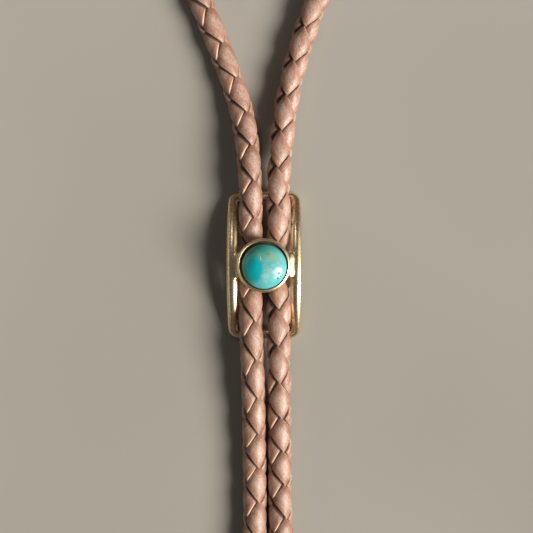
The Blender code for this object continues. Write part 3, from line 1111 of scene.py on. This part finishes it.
@dataclass
class Slide:
    """The slide's arched wire, strap and bezel cup, and the dark bedding in the cup, which also paints
    the shade round the stone.
    """

    bar_x: float = 6.56
    bar_z: float = 5.05
    bar_radius: float = 1.215
    cross_radius: float = 0.98
    cross_y: float = 14.12
    cross_z: float = 0.76
    corner: float = 1.45
    corner_turn: float = 30.5
    corner_steps: int = 10
    straight_steps: int = 4
    flatness: float = 0.72
    bow: float = 0.1
    taper: float = 0.9
    ring_sides: int = 40
    arch_steps: int = 20
    strap_size: tuple = (12.5, 5.2, 1.2)
    strap_z: float = 6.0
    strap_corner: float = 0.9
    strap_corner_steps: int = 8
    strap_fall: float = 0.40
    strap_crown: float = 0.30
    strap_flat: float = 1.5
    strap_shoulder: float = 5.3
    near: float = 0.01
    voxel: float = 0.1
    rubs: int = 6
    solder_rubs: int = 30
    solder_reach: float = 1.0
    solder_z: float = 5.4
    cup_shift: tuple = (-0.15, -0.10)
    cup_base: float = 6.3
    cup_floor: float = 6.8
    cup_rim: float = 9.0
    cup_inner: float = 4.97
    cup_outer: float = 5.52
    cup_edge: float = 0.1
    rim_inside: tuple = ((0.0, 0.14), (0.03, 0.04), (0.10, 0.0))
    rim_slope: tuple = (
        (0.41, 0.02), (0.30, 0.075), (0.17, 0.15), (0.08, 0.23), (0.02, 0.34), (0.0, 0.55),
    )
    cup_steps: int = 128
    cup_waves: tuple = (1.6, 0.05)
    bed_steps: int = 96
    bed_inner: float = 4.1
    bed_gaps: tuple = (0.04, 0.02)
    bed_height: float = 1.35
    bed_fillet: float = 0.12
    bed_slope: tuple = ((4.72, 0.0), (4.5, 0.1), (4.1, 0.25))
    smooth_wire: float = 50.0
    smooth_turned: float = 60.0

    def ring(self, middle: Point) -> bpy.types.Object:
        """Starts the wire as a ring that faces along Y, with a flatter upper half.

        Args:
            middle: The ring's middle.

        Returns:
            The ring, in edit mode with all of it selected.
        """
        Bench.clear()
        bpy.ops.mesh.primitive_circle_add(
            vertices=self.ring_sides,
            radius=self.bar_radius,
            location=middle,
            rotation=(math.pi / 2, 0.0, 0.0),
        )
        ring = Bench.placed("slide_wire")
        Bench.edit("SELECT")
        Bench.select(ring, lambda v: v.z > middle[2] + self.near / 10)
        bpy.ops.transform.resize(value=(1.0, 1.0, self.flatness), center_override=middle)
        bpy.ops.mesh.select_all(action="SELECT")
        bpy.ops.transform.translate(value=(0.0, 0.0, (1 - self.flatness) * self.bar_radius))
        return ring

    def wire(self) -> bpy.types.Object:
        """Runs a ring along a quarter of the wire's line and mirrors it.

        Returns:
            The whole wire.
        """
        rise = self.bar_z - self.cross_z
        arch = (self.cross_y**2 + rise**2) / (2 * rise)
        hub_z = self.bar_z - arch
        wire = self.ring((self.bar_x, 0.0, self.bar_z))
        turn = math.radians(self.corner_turn)
        step = turn / self.arch_steps
        radius, x = self.bar_radius, self.bar_x
        for i in range(1, self.arch_steps + 1):
            bpy.ops.mesh.spin(steps=1, angle=step, center=(0.0, 0.0, hub_z), axis=(1.0, 0.0, 0.0))
            y, z = arch * math.sin(step * i), hub_z + arch * math.cos(step * i)
            share = y / self.cross_y
            fade = math.cos(math.pi / 2 * min(1.0, share)) ** self.taper
            wanted = self.cross_radius + (self.bar_radius - self.cross_radius) * fade
            next_x = self.bar_x - self.bow * share**2
            bpy.ops.transform.translate(value=(next_x - x, 0.0, 0.0))
            bpy.ops.transform.resize(value=(wanted / radius,) * 3, center_override=(next_x, y, z))
            radius, x = wanted, next_x
        axis = (0.0, math.sin(turn), math.cos(turn))
        half = x - self.corner
        bpy.ops.mesh.spin(steps=self.corner_steps, angle=-math.pi / 2, center=(half, y, z), axis=axis)
        for _ in range(self.straight_steps):
            value = (-half / self.straight_steps, 0.0, 0.0)
            bpy.ops.mesh.extrude_edges_move(TRANSFORM_OT_translate={"value": value})
        bpy.ops.object.mode_set(mode="OBJECT")
        Bench.modify(wire, "MIRROR", use_axis=(True, True, False), merge_threshold=self.near)
        Bench.edit()
        Bench.close()
        return wire

    def strap(self) -> bpy.types.Object:
        """Shapes the strap from a block: a crown, sloping ends and round corners.

        Returns:
            The strap.
        """
        Bench.clear()
        bpy.ops.mesh.primitive_cube_add(size=1.0, location=(0.0, 0.0, self.strap_z))
        bpy.context.object.scale = self.strap_size
        strap = Bench.placed("slide_strap")
        Bench.edit()
        half, side, rise = (size / 2 for size in self.strap_size)
        for normal, place in (((1, 0, 0), self.strap_shoulder), ((0, 1, 0), self.strap_flat)):
            for cut in (-place, place):
                bpy.ops.mesh.select_all(action="SELECT")
                bpy.ops.mesh.bisect(plane_co=Vector(normal) * cut, plane_no=normal)
        top = self.strap_z + rise - self.near
        half, side = half - self.near, side - self.near
        Bench.select(strap, lambda v: abs(v.x) > half and v.z > top)
        bpy.ops.transform.translate(value=(0.0, 0.0, -self.strap_fall))
        Bench.select(strap, lambda v: abs(v.y) > side and v.z > self.strap_z)
        bpy.ops.transform.translate(value=(0.0, 0.0, -self.strap_crown))
        bpy.ops.mesh.select_mode(type="EDGE")
        bpy.ops.object.mode_set(mode="OBJECT")
        for edge in strap.data.edges:
            first, second = (strap.data.vertices[i].co for i in edge.vertices)
            upright = abs(first.z - second.z) > self.near * 10
            straight = (first.xy - second.xy).length < self.near
            edge.select = upright and straight and abs(first.x) > half and abs(first.y) > side
        bpy.ops.object.mode_set(mode="EDIT")
        bpy.ops.mesh.bevel(
            offset=self.strap_corner, segments=self.strap_corner_steps, affect="EDGES"
        )
        Bench.close()
        return strap

    def body(self, gold: bpy.types.Material) -> None:
        """Solders the strap to the wire and flattens the feet.

        Args:
            gold: The material.
        """
        wire, strap = self.wire(), self.strap()
        Bench.modify(wire, "BOOLEAN", operation="UNION", solver="EXACT", object=strap)
        bpy.data.objects.remove(strap, do_unlink=True)
        Bench.modify(wire, "REMESH", mode="VOXEL", voxel_size=self.voxel, use_smooth_shade=True)
        Bench.modify(wire, "SMOOTH", factor=0.5, iterations=self.rubs)
        joint = wire.vertex_groups.new(name="solder")
        reach = self.strap_size[1] / 2 + self.solder_reach
        vertices = wire.data.vertices
        near = [v.index for v in vertices if abs(v.co.y) < reach and v.co.z > self.solder_z]
        joint.add(near, 1.0, "REPLACE")
        Bench.modify(wire, "SMOOTH", factor=0.5, iterations=self.solder_rubs, vertex_group="solder")
        Bench.edit("SELECT")
        bpy.ops.mesh.bisect(
            plane_co=(0.0, 0.0, 0.0), plane_no=(0.0, 0.0, 1.0), use_fill=True, clear_inner=True
        )
        Bench.close()
        wire.name = wire.data.name = "slide_body"
        Bench.deliver(wire, self.smooth_wire, gold, "slide_frame", Slot.GOLD)

    def cup(self, satin: bpy.types.Material) -> None:
        """Turns the bezel cup, whose rim is rubbed down towards the stone.

        Args:
            satin: The material.
        """
        inner, outer, edge = self.cup_inner, self.cup_outer, self.cup_edge
        points = [(0.0, self.cup_floor), (inner - edge, self.cup_floor), (inner, self.cup_floor + edge)]
        points += [(inner + out, self.cup_rim - down) for out, down in self.rim_inside]
        points += [(outer - out, self.cup_rim - down) for out, down in self.rim_slope]
        points += [(outer, self.cup_base + edge), (outer - edge, self.cup_base), (0.0, self.cup_base)]
        cup = Bench.upright("bezel_cup", points, self.cup_shift, self.cup_steps)
        Bench.ripple(cup, "rubbed_waves", *self.cup_waves)
        Bench.deliver(cup, self.smooth_turned, satin, "slide_frame", Slot.GOLD)

    def bedding(self, paste_and_gap_shade: bpy.types.Material) -> None:
        """Turns the ring of paste round the stone's foot; its dark also paints the shade in the gap
        round the stone.

        Args:
            paste_and_gap_shade: The material.
        """
        outer, low = self.cup_inner - self.bed_gaps[0], self.cup_floor + self.bed_gaps[1]
        high = self.cup_floor + self.bed_height
        points = [(self.bed_inner, low), (outer, low), (outer, high + self.bed_fillet)]
        points += [(radius, high - down) for radius, down in self.bed_slope]
        points.append((self.bed_inner, low))
        bed = Bench.upright("setting_bed_and_gap_shade", points, self.cup_shift, self.bed_steps)
        Bench.deliver(bed, self.smooth_turned, paste_and_gap_shade)

    def build(
        self, gold: bpy.types.Material, satin: bpy.types.Material, paste_and_gap_shade: bpy.types.Material
    ) -> None:
        """Builds the slide's metal and the stone's dark bedding, which also paints the shade round the
        stone.

        Args:
            gold: The polished wire's material.
            satin: The rubbed bezel's material.
            paste_and_gap_shade: The bedding's material.
        """
        self.body(gold)
        self.cup(satin)
        self.bedding(paste_and_gap_shade)


@dataclass
class Cabochon:
    """The domed stone, cut and polished by hand."""

    radius: float = 4.57
    base: float = 7.1
    girdle: float = 8.6
    foot: float = 0.5
    dome: float = 2.1
    undercut: float = 0.15
    middle: tuple = (0.0, -0.32)
    rings: int = 40
    steps: int = 160
    waves: tuple = (2.6, 0.10)
    smooth_to: float = 45.0

    def build(self, stone: bpy.types.Material) -> None:
        """Turns the dome and gives it the slight waves of hand work.

        Args:
            stone: The material.
        """
        points = []
        for i in range(self.rings + 1):
            angle = math.pi / 2 * i / self.rings
            points.append((self.radius * math.sin(angle), self.girdle + self.dome * math.cos(angle)))
        points += [(self.radius, self.girdle - self.foot), (self.radius - self.undercut, self.base)]
        points.append((0.0, self.base))
        gem = Bench.upright("cabochon", points, self.middle, self.steps)
        Bench.ripple(gem, "hand_waves", *self.waves)
        Bench.deliver(gem, self.smooth_to, stone, "turquoise_cabochon", Slot.TURQUOISE)


# Studio


@dataclass(frozen=True)
class Lamp:
    """A light that faces the slide: an area light where it has a panel, otherwise a sun.

    Its place is in degrees from +X towards +Y, degrees above the ground and millimetres away.
    """

    name: str
    azimuth: float
    elevation: float
    power: float
    tint: Point
    far: float = 900.0
    spread: float = 0.0
    panel: tuple = ()
    gloss_only: bool = False

    def direction(self) -> Vector:
        """Works out where it stands, seen from the slide.

        Returns:
            The direction, one unit long.
        """
        turn, rise = math.radians(self.azimuth), math.radians(self.elevation)
        out = math.cos(rise)
        return Vector((math.cos(turn) * out, math.sin(turn) * out, math.sin(rise)))


@dataclass
class Studio:
    """The camera straight above, the pale ground and the soft light from the lower right."""

    aim: tuple = (0.44, -0.31, 4.0)
    distance: float = 450.0
    lens: float = 148.0
    sensor: float = 36.0
    clip: tuple = (0.01, 20.0)
    ground_size: float = 12.0
    ground_z: float = -0.05
    surround: Colour = (1.0, 0.95, 0.87, 1.0)
    ambient: float = 0.034
    mirrored: float = 0.05
    horizon: float = 0.62
    lamps: tuple = (
        Lamp("key", -25.0, 37.0, 5.4, (1.0, 0.965, 0.91), spread=30.0),
        Lamp("fill", 110.0, 58.0, 0.17, (1.0, 0.97, 0.92), far=600.0, panel=(0.13, 0.13)),
        Lamp("wall", 182.0, 29.0, 0.75, (1.0, 0.95, 0.88), panel=(1.5, 0.18), gloss_only=True),
        Lamp("window", 5.0, 35.0, 1.5, (1.0, 0.98, 0.93), panel=(0.8, 0.9), gloss_only=True),
    )

    def place(self, point: Point) -> Vector:
        """Returns a point of the slide's frame in the row frame, in metres."""
        return Vector((point[0], point[1] + SLIDE_MIDDLE_Y, point[2])) * MM

    def camera(self) -> None:
        """Sets up the camera with the photograph's view."""
        data = bpy.data.cameras.new("photo_camera")
        data.lens, data.sensor_width = self.lens, self.sensor
        data.clip_start, data.clip_end = self.clip
        camera = bpy.data.objects.new("photo_camera", data)
        camera.location = self.place((self.aim[0], self.aim[1], self.aim[2] + self.distance))
        bpy.context.scene.collection.objects.link(camera)
        bpy.context.scene.camera = camera

    def light(self, lamp: Lamp) -> None:
        """Sets up a light that faces the slide.

        Args:
            lamp: The light.
        """
        data = bpy.data.lights.new(lamp.name, "AREA" if lamp.panel else "SUN")
        data.energy, data.color = lamp.power, lamp.tint
        if lamp.panel:
            data.shape = "RECTANGLE"
            data.size, data.size_y = lamp.panel
        else:
            data.angle = math.radians(lamp.spread)
        if lamp.gloss_only:
            data.diffuse_factor = 0.0
        thing = bpy.data.objects.new(lamp.name, data)
        direction = lamp.direction()
        thing.location = self.place((0.0, 0.0, self.aim[2])) + direction * lamp.far * MM
        thing.rotation_mode = "QUATERNION"
        thing.rotation_quaternion = direction.to_track_quat("Z", "Y")
        thing.visible_camera = False
        bpy.context.scene.collection.objects.link(thing)

    def ground(self) -> None:
        """Lays the pale ground."""
        Bench.clear()
        bpy.ops.mesh.primitive_plane_add(size=self.ground_size, location=(0.0, 0.0, self.ground_z * MM))
        ground = bpy.context.object
        ground.name = ground.data.name = "ground"
        ground.data.materials.append(PALE_GROUND.material())

    def world(self) -> None:
        """Gives an even, dim surround with a pale horizon behind the ground."""
        world = bpy.data.worlds.new("studio")
        world.use_nodes = True
        tree = world.node_tree
        surround = tree.nodes["Background"]
        surround.inputs["Color"].default_value = self.surround
        seen = tree.nodes.new("ShaderNodeLightPath")
        level = tree.nodes.new("ShaderNodeMapRange")
        level.inputs["To Min"].default_value = self.ambient
        level.inputs["To Max"].default_value = self.horizon
        tree.links.new(seen.outputs["Is Camera Ray"], level.inputs["Value"])
        gloss = tree.nodes.new("ShaderNodeMath")
        gloss.operation = "MULTIPLY_ADD"
        gloss.inputs[1].default_value = self.mirrored
        tree.links.new(seen.outputs["Is Glossy Ray"], gloss.inputs[0])
        tree.links.new(level.outputs[0], gloss.inputs[2])
        tree.links.new(gloss.outputs[0], surround.inputs["Strength"])
        bpy.context.scene.world = world

    def build(self) -> None:
        """Sets up camera, ground, surround and lights."""
        self.camera()
        self.ground()
        self.world()
        for lamp in self.lamps:
            self.light(lamp)
        bpy.context.scene.view_settings.view_transform = "Standard"


def main() -> None:
    """Builds the studio, the cord and the slide."""
    logging.basicConfig(level=logging.INFO, format="%(name)s: %(message)s")
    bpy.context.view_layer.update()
    leather, gold, stone = Leather().material(), Gold().material(), Turquoise().material()
    satin = Gold("satin_gold", polish=0.27).material()
    Studio().build()
    TieCord().build(leather, gold)
    Slide().build(gold, satin, PASTE_AND_GAP_SHADE.material())
    Cabochon().build(stone)
    Bench.clear()


if __name__ == "__main__":
    main()
